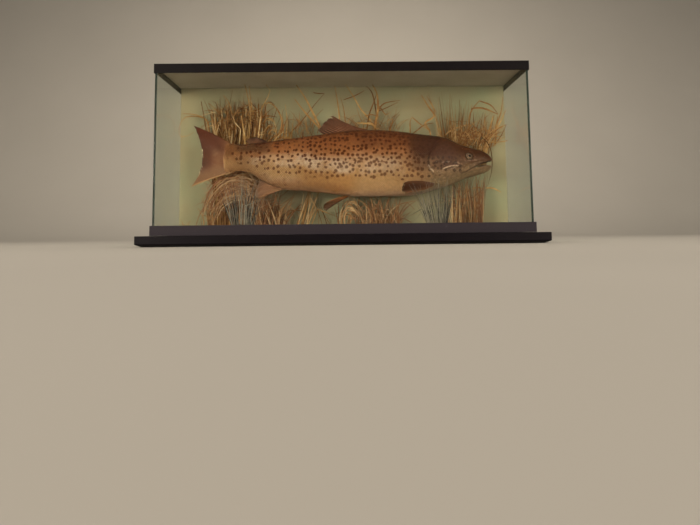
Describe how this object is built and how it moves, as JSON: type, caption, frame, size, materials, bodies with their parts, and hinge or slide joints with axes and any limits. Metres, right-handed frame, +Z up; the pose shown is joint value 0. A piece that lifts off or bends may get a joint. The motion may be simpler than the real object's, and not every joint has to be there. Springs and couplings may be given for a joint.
{
  "type": "mounted trophy fish",
  "caption": "Brown trout mounted as a trophy in a low glazed case with a black base board, a pale green painted back board and dried reeds behind the fish.",
  "frame": {"origin": "centre of the base board's underside", "axes": "+Z up; the case's front faces -Y; the fish lies along X with its head towards +X, so its right flank faces the front"},
  "size_m": [0.6926, 0.175, 0.3168],
  "materials": {
    "black_paint": "black paint over wood, semi-gloss, dusty and rubbed along the edges",
    "old_glass": "clear, slightly green at its edges, with a little dust",
    "green_paint": "pale sage-green distemper, matte and blotchy",
    "trout_skin": "varnished scaled skin, brown above and tan below, dark spots",
    "trout_fin": "varnished, reddish brown, with fine rays",
    "glass_eye": "glossy, brown iris and dark pupil",
    "steel_rod": "dull mild steel",
    "dried_reed": "dry straw, matte",
    "dried_grass": "dry grey-green grass, matte"
  },
  "bodies": {
    "root": {"base_board": "black_paint", "foot_rail_front": "black_paint", "foot_rail_left": "black_paint", "foot_rail_right": "black_paint", "lid_board": "black_paint", "top_strip_front": "black_paint", "top_strip_left": "black_paint", "top_strip_right": "black_paint", "glass_front": "old_glass", "glass_left": "old_glass", "glass_right": "old_glass", "back_board": "green_paint", "floor_lining": "green_paint", "head": "trout_skin", "lower_jaw": "trout_skin", "tongue": "trout_skin", "trunk": "trout_skin", "tail_stock": "trout_skin", "gill_cover_right": "trout_skin", "gill_cover_left": "trout_skin", "upper_jaw_right": "trout_skin", "upper_jaw_left": "trout_skin", "caudal_fin": "trout_fin", "dorsal_fin": "trout_fin", "adipose_fin": "trout_fin", "anal_fin": "trout_fin", "pelvic_fin_right": "trout_fin", "pelvic_fin_left": "trout_fin", "pectoral_fin_right": "trout_fin", "pectoral_fin_left": "trout_fin", "eye_right": "glass_eye", "eye_left": "glass_eye", "mount_rod_front": "steel_rod", "mount_rod_rear": "steel_rod", "reeds_tail_low": "dried_reed", "reeds_tail_high": "dried_reed", "reeds_tail_right": "dried_reed", "reeds_middle_left": "dried_reed", "reeds_middle_right": "dried_reed", "reeds_shoulder": "dried_reed", "reeds_nape": "dried_reed", "reeds_snout": "dried_reed", "grass_tail": "dried_grass", "grass_throat": "dried_grass"}
  },
  "joints": []
}
